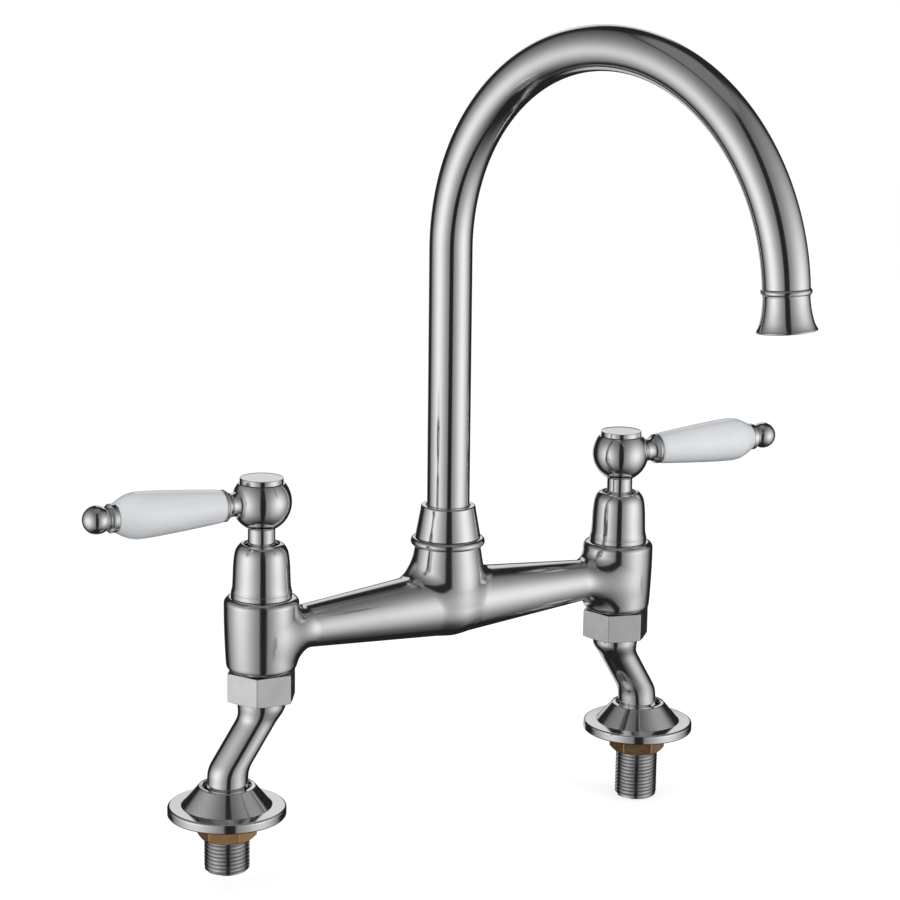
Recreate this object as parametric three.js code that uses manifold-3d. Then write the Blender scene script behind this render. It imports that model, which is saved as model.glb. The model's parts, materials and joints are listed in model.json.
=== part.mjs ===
// Two-handle bridge mixer for a kitchen sink: a cast bridge with two valve bodies, a high swivelling
// gooseneck spout, porcelain lever handles and two cranked legs that go through the deck.
// Millimetres, +Z up. The origin is on the deck, midway between the two posts. +X runs along the bridge
// to the right-hand handle, and -Y points to the person at the sink.
import * as THREE from "three";
import { mergeVertices } from "three/addons/utils/BufferGeometryUtils.js";
import Module from "manifold-3d";

const wasm = await Module();
wasm.setup();

// ---------------------------------------------------------------- driving dimensions
const POST_SPACING = 201.6; // between the axes of the two valve bodies
const GAP = 0.15; // between pieces that touch

// Spout
const SPOUT_YAW = -78.9; // degrees from +X to the plane of the arch
const SPOUT_R = 10.15; // outside of the tube
const SPOUT_BORE = 9.1;
const ARCH_R = 98.4; // centre line
const ARCH_START_Z = 252.8;
const ARCH_SWEEP = 176; // degrees
const TUBE_FOOT_Z = 126.7;
const NOZZLE_LENGTH = 17.9;

// Bridge
const ARM_Z = 84;
const BODY_BOTTOM_Z = 66.4;
const BODY_TOP_Z = 101.0;
const BODY_R = 17.2;
const SPIGOT_R = 13.0; // 3/4 inch male thread under each valve body
const SPIGOT_BOTTOM_Z = 58.8;
const BONNET_THREAD_R = 12.2;
const BONNET_THREAD_TOP_Z = 106.0;
const INLET_BORE = 7.5;
const CHAMBER_BORE = 9.4;
const CHAMBER_FLOOR_Z = 72.2;
const CARTRIDGE_BORE = 10.0;
const CARTRIDGE_STEP_Z = 90.2;
const WATERWAY_BORE = 5.2;
const HUB_BORE_FLOOR_Z = 76;
const HUB_BEAD_Z = 114.1;
const HUB_NECK_R = 11.7;
const HUB_NECK_TOP_Z = 122.5;
const HUB_BORE = 8.8;

// Handles
const BALL_Z = 145.1;
const BALL_R = 13.7;
const BALL_TOP_Z = 153.8;
const HUB_STEM_R = 6.2;
const HUB_STEM_BOTTOM_Z = 119.4;
const CAP_R = 9.93;
const CAP_TOP_Z = 156.6;
const LEVER_TILT = 1.4; // degrees above the horizontal
const LEVER_SEAT = 12.45; // from the post axis to the foot of the lever
const GRIP_START = 21.15;
const GRIP_END = 73.9;
const FINIAL_BALL = 82.6; // from the post axis to the centre of the end ball
const FINIAL_BALL_R = 6.4;
const ROD_R = 2.35;

// Union nuts and cranked legs
const UNION_NUT_ACROSS_CORNERS = 33.5;
const UNION_NUT_BOTTOM_Z = 52.2;
const UNION_NUT_TOP_Z = 66.3;
const LEG_TOP_Z = 56.8;
const CRANK_OFFSET = 18.1;
const CRANK_UPPER_Z = 46.3; // corners of the leg's centre line
const CRANK_LOWER_Z = 18.3;
const CRANK_EASE = 3; // height above and below a corner in which it is rounded
const LEG_R = 9.6;
const LEG_BORE = 6.5;
const TAIL_R = 10.45; // 1/2 inch male thread
const FLANGE_R = 27.6;
const FLANGE_TOP_Z = 14.2;
const BACKNUT_ACROSS_CORNERS = 27.7;
const BACKNUT_BOTTOM_Z = -10.8;
const BACKNUT_TOP_Z = -1.0;

// Angles are degrees from +X, counterclockwise seen from above.
const SIDES = [
  { name: "left", post: -POST_SPACING / 2, leverYaw: 180.6, legYaw: 180, nutTurn: -6.8, tail: 26.6 },
  { name: "right", post: POST_SPACING / 2, leverYaw: -6.6, legYaw: 8.5, nutTurn: -19.2, tail: 34.7 },
];
const BACKNUT_TURN = 24.4;

// Facets round a full turn
const FINE = 20;
const MEDIUM = 16;
const COARSE = 12;

// ---------------------------------------------------------------- materials
function material(color, roughness, metalness) {
  return new THREE.MeshStandardMaterial({ color, roughness, metalness });
}
const CHROME = material(0xc9cbcd, 0.08, 1);
const BRASS = material(0xb08a4a, 0.35, 1);
const STEEL = material(0x9c9fa3, 0.3, 1);
const PORCELAIN = material(0xf1f2f4, 0.15, 0);
const CERAMIC_DISC = material(0xe8e4da, 0.3, 0);
const RUBBER = material(0x222326, 0.8, 0);
const PLASTIC = material(0x3b3d40, 0.5, 0);

// ---------------------------------------------------------------- shapes
const rad = THREE.MathUtils.degToRad;

// Points of an arc in an outline: centre (r, z), start and end in degrees.
function arc(r, z, radius, from, to, steps) {
  const points = [];
  for (let i = 0; i <= steps; i += 1) {
    const angle = rad(from + ((to - from) * i) / steps);
    points.push([r + radius * Math.cos(angle), z + radius * Math.sin(angle)]);
  }
  return points;
}

// The outline turned about Z. It starts and ends on the axis, or closes on itself.
function revolve(points, segments) {
  const ring = points.map(([r, z]) => new THREE.Vector2(r, z));
  const onAxis = ring[0].x === 0 && ring[ring.length - 1].x === 0;
  const outward = THREE.ShapeUtils.area(ring) > 0;
  if (!outward) ring.reverse();
  if (!onAxis) ring.push(ring[0].clone());
  return new THREE.LatheGeometry(ring, segments).rotateX(Math.PI / 2);
}

function solid(geometry) {
  const bare = geometry.index ? geometry.toNonIndexed() : geometry.clone();
  bare.deleteAttribute("normal");
  bare.deleteAttribute("uv");
  const merged = mergeVertices(bare, 1e-4);
  return new wasm.Manifold(
    new wasm.Mesh({
      numProp: 3,
      vertProperties: merged.attributes.position.array,
      triVerts: new Uint32Array(merged.index.array),
    }),
  );
}

function geometryOf(body) {
  const mesh = body.getMesh();
  const geometry = new THREE.BufferGeometry();
  geometry.setAttribute("position", new THREE.BufferAttribute(mesh.vertProperties, 3));
  geometry.setIndex(new THREE.BufferAttribute(mesh.triVerts, 1));
  geometry.computeVertexNormals();
  return geometry;
}

function cut(body, ...tools) {
  return geometryOf(tools.reduce((rest, tool) => rest.subtract(solid(tool)), solid(body)));
}

// A plain cylinder along Z between two heights.
function rod(radius, from, to, segments) {
  return new THREE.CylinderGeometry(radius, radius, to - from, segments)
    .rotateX(Math.PI / 2)
    .translate(0, 0, (from + to) / 2);
}

function washer(inner, outer, from, to, segments) {
  return revolve([[inner, from], [outer, from], [outer, to], [inner, to]], segments);
}

// A hexagon nut before boring, with its corners chamfered by the given heights.
function hexagon(acrossCorners, from, to, turn, lower, upper) {
  const corner = acrossCorners / 2;
  const flat = corner * Math.cos(Math.PI / 6) - 0.1;
  const chamfers = revolve(
    [
      [0, from],
      [flat, from],
      [corner, from + lower],
      [corner, to - upper],
      [flat, to],
      [0, to],
    ],
    FINE,
  );
  const nut = solid(rod(corner, from, to, 6)).intersect(solid(chamfers));
  return geometryOf(nut).rotateZ(rad(turn + 30));
}

// A torus as a turned ring, for the rubber seals.
function ringSeal(radius, height, thickness, segments) {
  return revolve(arc(radius, height, thickness, 0, 300, 5), segments);
}

// Bends a straight piece: place(z) gives the point of the centre line at that height, and the lean of
// its cross-section in the XZ plane, in radians.
function bend(geometry, place) {
  const position = geometry.attributes.position;
  for (let i = 0; i < position.count; i += 1) {
    const { x, z, lean } = place(position.getZ(i));
    const across = position.getX(i);
    position.setX(i, x + across * Math.cos(lean));
    position.setZ(i, z + across * Math.sin(lean));
  }
  return geometry;
}

// Heights that cut a stretch into even steps, ends left out.
function between(from, to, steps) {
  const heights = [];
  for (let i = 1; i < steps; i += 1) {
    heights.push(from + ((to - from) * i) / steps);
  }
  return heights;
}

// ---------------------------------------------------------------- bridge
const BEAD_R = 1.95; // of the bead's round edge
const HUB_OUTLINE = [
  [0, 66.9],
  [7, 67.5],
  [12.5, 69.9],
  [16, 74.2],
  [18, 83],
  [18, 91],
  [17, 103],
  [15.5, HUB_BEAD_Z - BEAD_R],
  ...arc(15.5, HUB_BEAD_Z, BEAD_R, -60, 60, 3),
  [15.4, HUB_BEAD_Z + BEAD_R],
  [HUB_NECK_R, HUB_BEAD_Z + BEAD_R],
  [HUB_NECK_R, HUB_NECK_TOP_Z],
  [0, HUB_NECK_TOP_Z],
];
const VALVE_BODY_OUTLINE = [
  [0, SPIGOT_BOTTOM_Z],
  [SPIGOT_R, SPIGOT_BOTTOM_Z],
  [SPIGOT_R, BODY_BOTTOM_Z],
  [14.4, BODY_BOTTOM_Z],
  [16.0, 69],
  [16.7, 72.5],
  [BODY_R, 90],
  [BODY_R, 97.4],
  [16.5, 99.8],
  [14.6, BODY_TOP_Z],
  [BONNET_THREAD_R, BODY_TOP_Z],
  [BONNET_THREAD_R, BONNET_THREAD_TOP_Z],
  [0, BONNET_THREAD_TOP_Z],
];
// Radius of the arms at distances from the hub axis: a slow taper that flares into the hub and the
// valve bodies.
const ARM_OUTLINE = [
  [15.8, 14],
  [14.4, 24],
  [13.5, 33],
  [11.3, 62],
  [10.5, 76],
  [11.2, 82],
  [13.4, 86],
];

function bridgeBody() {
  const tip = ARM_OUTLINE[ARM_OUTLINE.length - 1][1];
  const mirrored = ARM_OUTLINE.map(([r, x]) => [r, -x]).reverse();
  const arms = revolve([[0, -tip], ...mirrored, ...ARM_OUTLINE, [0, tip]], MEDIUM)
    .rotateY(Math.PI / 2)
    .translate(0, 0, ARM_Z);
  let body = solid(arms).add(solid(revolve(HUB_OUTLINE, FINE)));
  for (const side of SIDES) {
    body = body.add(solid(revolve(VALVE_BODY_OUTLINE, FINE).translate(side.post, 0, 0)));
  }
  const reach = POST_SPACING / 2 - CHAMBER_BORE / 2;
  const cutters = [
    rod(WATERWAY_BORE, -reach, reach, COARSE).rotateY(Math.PI / 2).translate(0, 0, ARM_Z),
    rod(HUB_BORE, HUB_BORE_FLOOR_Z, HUB_NECK_TOP_Z + 1, MEDIUM),
  ];
  for (const side of SIDES) {
    const bore = revolve(
      [
        [0, SPIGOT_BOTTOM_Z - 1],
        [INLET_BORE, SPIGOT_BOTTOM_Z - 1],
        [INLET_BORE, CHAMBER_FLOOR_Z],
        [CHAMBER_BORE, CHAMBER_FLOOR_Z],
        [CHAMBER_BORE, CARTRIDGE_STEP_Z],
        [CARTRIDGE_BORE, CARTRIDGE_STEP_Z],
        [CARTRIDGE_BORE, BONNET_THREAD_TOP_Z + 1],
        [0, BONNET_THREAD_TOP_Z + 1],
      ],
      MEDIUM,
    );
    cutters.push(bore.translate(side.post, 0, 0));
  }
  for (const cutter of cutters) body = body.subtract(solid(cutter));
  return geometryOf(body);
}

// The conical collar screws on the hub's neck and holds the foot of the spout down.
function spoutCollar() {
  const foot = HUB_BEAD_Z + BEAD_R + GAP;
  const shoulder = TUBE_FOOT_Z + 0.1;
  return revolve(
    [
      [11.9, foot],
      [15.4, foot],
      [12.65, 129.2],
      [12.5, 130.7],
      [11.8, 131.6],
      [10.5, 131.6],
      [10.5, shoulder],
      [11.9, shoulder],
    ],
    FINE,
  );
}

// ---------------------------------------------------------------- valves, placed on a post axis
function bonnet() {
  return revolve(
    [
      [13.9, BODY_TOP_Z + GAP],
      [13.95, 103.9],
      [13.3, 104.3],
      [12.8, 118],
      [12.1, 122.6],
      [10.4, 125.7],
      [8.6, 127.0],
      [7.7, 126.8],
      [7.7, 125.2],
      [10.6, 120],
      [12.0, 110.8],
      [12.4, 106.6],
      [12.4, BODY_TOP_Z + GAP],
    ],
    FINE,
  );
}

const CARTRIDGE_SKIRT_R = 9.15;
const CARTRIDGE_SKIRT_BORE = 8.55;
const CARTRIDGE_FOOT_Z = 75.8;
const SPINDLE_BORE = 4.3;
const DISC_R = 8.3;

// Brass headwork: skirt round the discs with two side windows, thread, hexagon and spindle guide.
function cartridgeBody() {
  const turned = revolve(
    [
      [0, CARTRIDGE_FOOT_Z],
      [CARTRIDGE_SKIRT_R, CARTRIDGE_FOOT_Z],
      [CARTRIDGE_SKIRT_R, 90.6],
      [9.8, 90.6],
      [9.8, 108],
      [6.9, 108],
      [6.9, 118.6],
      [0, 118.6],
    ],
    MEDIUM,
  );
  const bores = revolve(
    [
      [0, CARTRIDGE_FOOT_Z - 1],
      [CARTRIDGE_SKIRT_BORE, CARTRIDGE_FOOT_Z - 1],
      [CARTRIDGE_SKIRT_BORE, 86.6],
      [SPINDLE_BORE, 86.6],
      [SPINDLE_BORE, 119.6],
      [0, 119.6],
    ],
    MEDIUM,
  );
  const hex = rod(11.5, BONNET_THREAD_TOP_Z + GAP, 110.2, 6);
  const windows = new THREE.BoxGeometry(24, 8, 6).translate(0, 0, 83.3);
  return geometryOf(solid(turned).add(solid(hex)).subtract(solid(bores)).subtract(solid(windows)));
}

function cartridgeSeal() {
  return washer(5.4, 9.0, CHAMBER_FLOOR_Z + GAP, CARTRIDGE_FOOT_Z - GAP, MEDIUM);
}

function fixedDisc() {
  const port = rod(2.6, 75, 80, 10).translate(4.2, 0, 0);
  return cut(rod(DISC_R, 75.95, 78.85, MEDIUM), port);
}

function movingDisc() {
  const port = rod(2.6, 78, 83, 10).translate(0, 4.2, 0);
  return cut(rod(DISC_R, 79.0, 82.1, MEDIUM), port);
}

const SEAL_GROOVE_Z = 101.3;

function spindle() {
  const shaft = 4.1;
  const groove = 2.9;
  return revolve(
    [
      [0, 82.3],
      [8.1, 82.3],
      [8.1, 86.3],
      [shaft, 86.3],
      [shaft, SEAL_GROOVE_Z - 0.9],
      [groove, SEAL_GROOVE_Z - 0.9],
      [groove, SEAL_GROOVE_Z + 0.9],
      [shaft, SEAL_GROOVE_Z + 0.9],
      [shaft, 142.2],
      [1.95, 142.2],
      [1.95, 129.5],
      [0, 129.5],
    ],
    COARSE,
  );
}

// ---------------------------------------------------------------- handles, placed on a post axis
// Turns a piece built along +Z into one that lies along a lever.
function alongLever(geometry, yaw) {
  return geometry
    .rotateY(Math.PI / 2)
    .rotateY(-rad(LEVER_TILT))
    .rotateZ(rad(yaw))
    .translate(0, 0, BALL_Z);
}

function handleHub(leverYaw) {
  const stemMeets = THREE.MathUtils.radToDeg(Math.asin(HUB_STEM_R / BALL_R)) - 90;
  const top = THREE.MathUtils.radToDeg(Math.asin((BALL_TOP_Z - BALL_Z) / BALL_R));
  const ball = revolve(
    [
      [4.3, HUB_STEM_BOTTOM_Z],
      [HUB_STEM_R, HUB_STEM_BOTTOM_Z],
      ...arc(0, BALL_Z, BALL_R, stemMeets, top, 9),
      [5.0, BALL_TOP_Z],
      [5.0, 147.2],
      [2.2, 147.2],
      [2.2, 142.5],
      [4.3, 142.5],
    ],
    FINE,
  );
  const seat = alongLever(rod(5.6, LEVER_SEAT - GAP, BALL_R + 1, MEDIUM), leverYaw);
  const stud = alongLever(rod(2.55, 5.6, BALL_R, COARSE), leverYaw);
  return cut(ball, seat, stud);
}

function indexCap() {
  return revolve(
    [
      [0, 150.3],
      [4.8, 150.3],
      [4.8, BALL_TOP_Z + GAP],
      [9.8, BALL_TOP_Z + GAP],
      [CAP_R, CAP_TOP_Z - 0.4],
      [9.5, CAP_TOP_Z],
      [0, CAP_TOP_Z],
    ],
    FINE,
  );
}

function handleScrew() {
  return revolve(
    [
      [0, 130.5],
      [1.75, 130.5],
      [1.75, 147.4],
      [3.5, 147.4],
      [3.5, 149.9],
      [1.5, 149.9],
      [1.5, 148.4],
      [0, 148.4],
    ],
    COARSE,
  );
}

function leverNeck() {
  return revolve(
    [
      [2.65, LEVER_SEAT],
      [5.3, LEVER_SEAT],
      [5.25, 17],
      [6.2, 18.3],
      [7.4, 19.4],
      [7.0, 20.4],
      [7.3, GRIP_START - GAP],
      [2.65, GRIP_START - GAP],
    ],
    MEDIUM,
  );
}

function leverGrip() {
  return revolve(
    [
      [2.9, GRIP_START],
      [7.0, GRIP_START],
      [10.1, 60],
      [10.25, 63],
      [9.8, 65.5],
      [8.3, 69.3],
      [6.7, GRIP_END],
      [2.9, GRIP_END],
    ],
    MEDIUM,
  );
}

function leverFinial() {
  const collar = GRIP_END + GAP;
  return revolve(
    [
      [0, 79.5],
      [2.6, 79.5],
      [2.6, collar],
      [6.5, collar],
      [6.5, 76.6],
      ...arc(0, FINIAL_BALL, FINIAL_BALL_R, -45, 67.5, 5),
      [0, FINIAL_BALL + FINIAL_BALL_R],
    ],
    MEDIUM,
  );
}

// ---------------------------------------------------------------- spout, its arch in the XZ plane
const ARCH_LENGTH = ARCH_R * rad(ARCH_SWEEP);
const ARCH_STEPS = 24;

function archPlace(z) {
  if (z <= ARCH_START_Z) return { x: 0, z, lean: 0 };
  const turned = (z - ARCH_START_Z) / ARCH_R;
  return {
    x: ARCH_R * (1 - Math.cos(turned)),
    z: ARCH_START_Z + ARCH_R * Math.sin(turned),
    lean: -turned,
  };
}

function spoutTube() {
  const end = ARCH_START_Z + ARCH_LENGTH;
  const column = (radius, from, to, segments) => {
    const rows = [ARCH_START_Z, ...between(ARCH_START_Z, end, ARCH_STEPS), to];
    const side = rows.map((z) => [radius, z]);
    return bend(revolve([[0, from], [radius, from], ...side, [0, to]], segments), archPlace);
  };
  const outside = column(SPOUT_R, TUBE_FOOT_Z, end, MEDIUM);
  const inside = column(SPOUT_BORE, TUBE_FOOT_Z - 1, end + 1, COARSE);
  return cut(outside, inside);
}

const BASE_R = 8.45;
const BASE_GROOVE_R = 7.0;
const BASE_GROOVES_Z = [96, 106];
const GROOVE_HALF = 1.1;
const BASE_FLANGE_Z = 124.7;

// The spigot in the foot of the tube turns in the hub. Its flange sits under the collar's shoulder.
function spoutBase() {
  const grooves = BASE_GROOVES_Z.flatMap((z) => [
    [BASE_R, z - GROOVE_HALF],
    [BASE_GROOVE_R, z - GROOVE_HALF],
    [BASE_GROOVE_R, z + GROOVE_HALF],
    [BASE_R, z + GROOVE_HALF],
  ]);
  return revolve(
    [
      [5.5, 88.5],
      [BASE_R, 88.5],
      ...grooves,
      [BASE_R, BASE_FLANGE_Z],
      [11.3, BASE_FLANGE_Z],
      [11.3, TUBE_FOOT_Z - GAP],
      [8.6, TUBE_FOOT_Z - GAP],
      [8.6, 138],
      [5.5, 138],
    ],
    MEDIUM,
  );
}

// Nozzle pieces are turned about +Z, which points down the outlet from the end of the tube.
function nozzle() {
  return revolve(
    [
      [7.6, -3],
      [8.4, -3],
      [8.4, GAP],
      [10.1, GAP],
      [10.75, 0.9],
      [10.75, 1.8],
      [9.9, 2.8],
      [10.05, 7.2],
      [10.4, 9.9],
      [11.5, 14.7],
      [12.85, 17.3],
      [12.6, NOZZLE_LENGTH],
      [12.0, NOZZLE_LENGTH - 0.3],
      [10.4, 14.6],
      [9.4, 12.4],
      [9.4, 4.4],
      [7.6, 4.4],
    ],
    MEDIUM,
  );
}

function aeratorHousing() {
  return revolve(
    [
      [6.9, 6.1],
      [9.15, 6.1],
      [9.15, 11.8],
      [8.6, 12.6],
      [6.2, 12.6],
      [6.2, 12.0],
      [6.9, 12.0],
    ],
    MEDIUM,
  );
}

function aeratorInsert() {
  const holes = [[0, 0]];
  for (let i = 0; i < 6; i += 1) {
    holes.push([4 * Math.cos(rad(60 * i)), 4 * Math.sin(rad(60 * i))]);
  }
  return cut(
    rod(6.65, 6.3, 11.8, COARSE),
    ...holes.map(([x, y]) => rod(1.2, 6, 12, 8).translate(x, y, 0)),
  );
}

// ---------------------------------------------------------------- legs, cranked towards +X
const CRANK_SLOPE = CRANK_OFFSET / (CRANK_UPPER_Z - CRANK_LOWER_Z);

// How far below a corner the leg is, with the corner rounded.
function below(corner, z) {
  const depth = corner - z;
  if (Math.abs(depth) >= CRANK_EASE) return Math.max(depth, 0);
  return (depth + CRANK_EASE) ** 2 / (4 * CRANK_EASE);
}

function crankPlace(z) {
  return { x: CRANK_SLOPE * (below(CRANK_UPPER_Z, z) - below(CRANK_LOWER_Z, z)), z, lean: 0 };
}

function leg(tail) {
  const collar = 54.2;
  const tailTop = 8;
  const rounded = (corner) => [
    corner + CRANK_EASE,
    ...between(corner + CRANK_EASE, corner - CRANK_EASE, 3),
    corner - CRANK_EASE,
  ];
  const neck = rounded(CRANK_UPPER_Z).map((z, i) => [11.3 - 0.5 * i, z]);
  const foot = rounded(CRANK_LOWER_Z).map((z) => [LEG_R, z]);
  const bore = [...rounded(CRANK_UPPER_Z), ...rounded(CRANK_LOWER_Z)].reverse();
  const straight = revolve(
    [
      [LEG_BORE, LEG_TOP_Z],
      [12.9, LEG_TOP_Z],
      [12.9, collar],
      [11.4, collar],
      ...neck,
      [LEG_R, 42],
      ...foot,
      [LEG_R, tailTop + 0.8],
      [TAIL_R, tailTop],
      [TAIL_R, 1.8 - tail],
      [8.9, -tail],
      [LEG_BORE, -tail],
      ...bore.map((z) => [LEG_BORE, z]),
    ],
    MEDIUM,
  );
  return bend(straight, crankPlace);
}

function flange() {
  return revolve(
    [
      [25.2, 0],
      [27.1, 0],
      [FLANGE_R, 0.6],
      [FLANGE_R, 3.3],
      [26.8, 4.5],
      [21.2, 4.6],
      [13.9, FLANGE_TOP_Z - 0.2],
      [13.4, FLANGE_TOP_Z],
      [11.15, FLANGE_TOP_Z],
      [11.15, 8.8],
      [10.7, 8.4],
      [10.7, 0.4],
      [13, 0.4],
      [13, 9.4],
      [19.4, 2.2],
      [25.2, 2.2],
    ],
    FINE,
  );
}

// ---------------------------------------------------------------- assembly
function place(parent, name, geometry, finish) {
  const mesh = new THREE.Mesh(geometry, finish);
  mesh.name = name;
  parent.add(mesh);
  return mesh;
}

function group(parent, x, yaw = 0) {
  const holder = new THREE.Group();
  holder.position.x = x;
  holder.rotation.z = rad(yaw);
  parent.add(holder);
  return holder;
}

const faucet = new THREE.Group();

place(faucet, "bridge_body", bridgeBody(), CHROME);
place(faucet, "spout_collar", spoutCollar(), CHROME);
place(
  faucet,
  "spout_thrust_washer",
  washer(8.95, 11.3, HUB_NECK_TOP_Z + GAP, BASE_FLANGE_Z - GAP, MEDIUM),
  PLASTIC,
);

const spout = group(faucet, 0, SPOUT_YAW);
place(spout, "spout_tube", spoutTube(), CHROME);
place(spout, "spout_base", spoutBase(), BRASS);
["lower", "upper"].forEach((which, i) => {
  const seal = ringSeal(7.85, BASE_GROOVES_Z[i], 0.8, MEDIUM);
  place(spout, "spout_oring_" + which, seal, RUBBER);
});

const outlet = new THREE.Group();
const archEnd = archPlace(ARCH_START_Z + ARCH_LENGTH);
outlet.position.set(archEnd.x, 0, archEnd.z);
outlet.rotation.y = rad(ARCH_SWEEP);
spout.add(outlet);
place(outlet, "spout_nozzle", nozzle(), CHROME);
place(outlet, "aerator_housing", aeratorHousing(), STEEL);
place(outlet, "aerator_insert", aeratorInsert(), PLASTIC);
place(outlet, "aerator_washer", washer(6.5, 9.1, 4.55, 5.95, MEDIUM), RUBBER);

for (const side of SIDES) {
  const post = group(faucet, side.post);
  const named = (piece) => side.name + "_" + piece;
  place(post, named("bonnet"), bonnet(), CHROME);
  place(post, named("cartridge_body"), cartridgeBody(), BRASS);
  place(post, named("cartridge_seal"), cartridgeSeal(), RUBBER);
  place(post, named("fixed_disc"), fixedDisc(), CERAMIC_DISC);
  place(post, named("moving_disc"), movingDisc(), CERAMIC_DISC);
  place(post, named("spindle"), spindle(), BRASS);
  place(post, named("spindle_oring"), ringSeal(3.6, SEAL_GROOVE_Z, 0.62, COARSE), RUBBER);

  place(post, named("handle_hub"), handleHub(side.leverYaw), CHROME);
  place(post, named("index_cap"), indexCap(), CHROME);
  place(post, named("handle_screw"), handleScrew(), STEEL);
  const lever = (piece, geometry, finish) =>
    place(post, named(piece), alongLever(geometry, side.leverYaw), finish);
  lever("lever_neck", leverNeck(), CHROME);
  lever("lever_rod", rod(ROD_R, 6.2, 78.8, COARSE), STEEL);
  lever("lever_grip", leverGrip(), PORCELAIN);
  lever("lever_finial", leverFinial(), CHROME);

  const unionNut = hexagon(
    UNION_NUT_ACROSS_CORNERS,
    UNION_NUT_BOTTOM_Z,
    UNION_NUT_TOP_Z,
    side.nutTurn,
    1.5,
    0.5,
  );
  const unionBore = revolve(
    [
      [0, UNION_NUT_BOTTOM_Z - 1],
      [11.8, UNION_NUT_BOTTOM_Z - 1],
      [11.8, 54.0],
      [13.35, 54.0],
      [13.35, UNION_NUT_TOP_Z + 1],
      [0, UNION_NUT_TOP_Z + 1],
    ],
    FINE,
  );
  place(post, named("union_nut"), cut(unionNut, unionBore), CHROME);
  place(post, named("union_washer"), washer(7.4, 12.6, 57.0, 58.6, MEDIUM), RUBBER);

  const crank = group(post, 0, side.legYaw);
  place(crank, named("leg"), leg(side.tail), CHROME);
  const foot = group(crank, CRANK_OFFSET);
  place(foot, named("flange"), flange(), CHROME);
  place(foot, named("flange_seal"), washer(13.4, 24.9, 0.05, 2.05, MEDIUM), RUBBER);
  const backnut = hexagon(
    BACKNUT_ACROSS_CORNERS,
    BACKNUT_BOTTOM_Z,
    BACKNUT_TOP_Z,
    BACKNUT_TURN - side.legYaw,
    1.4,
    0.6,
  );
  const backnutBore = rod(10.65, BACKNUT_BOTTOM_Z - 1, BACKNUT_TOP_Z + 1, MEDIUM);
  place(foot, named("backnut"), cut(backnut, backnutBore), BRASS);
}

export default faucet;
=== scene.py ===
import json
import math

import bmesh
import bpy
import numpy as np
from mathutils import Matrix, Vector


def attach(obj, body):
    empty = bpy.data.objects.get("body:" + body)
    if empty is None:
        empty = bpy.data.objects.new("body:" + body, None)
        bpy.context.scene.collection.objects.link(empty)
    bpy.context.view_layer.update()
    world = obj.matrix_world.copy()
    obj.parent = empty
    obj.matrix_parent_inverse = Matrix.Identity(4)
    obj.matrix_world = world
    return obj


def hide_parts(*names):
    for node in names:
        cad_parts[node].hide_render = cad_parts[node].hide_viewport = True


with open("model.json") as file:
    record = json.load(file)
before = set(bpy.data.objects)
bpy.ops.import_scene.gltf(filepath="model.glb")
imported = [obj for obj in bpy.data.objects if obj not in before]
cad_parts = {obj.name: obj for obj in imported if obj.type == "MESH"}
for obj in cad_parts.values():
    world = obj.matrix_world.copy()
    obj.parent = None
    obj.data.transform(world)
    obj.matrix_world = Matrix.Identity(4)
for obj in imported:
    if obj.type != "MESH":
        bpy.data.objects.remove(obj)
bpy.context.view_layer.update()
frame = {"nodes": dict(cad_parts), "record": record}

# Shapes are worked out in millimetres in the part's frame and scaled to metres when a mesh is made.
MM = 0.001

# ---------------------------------------------------------------- dimensions
POST_X = 100.8  # from the middle to the axis of a valve
ARM_Z = 84.4  # of the arms' axes, in the middle
BORE_R = 6.5  # water way in the legs and tails

SPOUT_YAW = math.radians(-78.9)
SPOUT_R = 10.05
ARCH_R = 98.4
ARCH_START_Z = 252.8
ARCH_SWEEP = math.radians(176)
TUBE_FOOT_Z = 126.8
SPOUT_LEAN = 0.0055  # sideways per millimetre of height
LEAN_WAY = (-0.833, 0.553, 0)

BALL_Z = 145.1
BALL_R = 13.7
LEVER_TILT = math.radians(1.4)

CRANK_OFFSET = 18.1
CRANK_UPPER_Z = 46.4
CRANK_LOWER_Z = 21.6
CRANK_EASE = 3.3  # height above and below a corner of the leg in which it is rounded
LAST_BEND_Z = 20.0  # below it the leg takes up the rest of its offset, inside the flange
LEG_R = 9.4
LEG_FOOT_Z = 8.0  # where the leg ends and its threaded tail begins
THREAD_PITCH = 1.814
THREAD_CREST_R = 10.45
THREAD_ROOT_R = 9.45

# Lever, leg and nut are turns in degrees, bent is the leg's offset in sight and tail is its lowest height.
SIDES = [
    {"name": "left", "post": -POST_X, "lever": 180.6, "leg": 180.0, "bent": 17.6, "nut": -6.8, "tail": -26.6},
    {"name": "right", "post": POST_X, "lever": -6.6, "leg": 8.5, "bent": 16.8, "nut": -19.2, "tail": -34.7},
]
BACKNUT_TURN = 24.4
AROUND = 112  # columns round a turned piece
FLANGE_AROUND = 144


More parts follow.
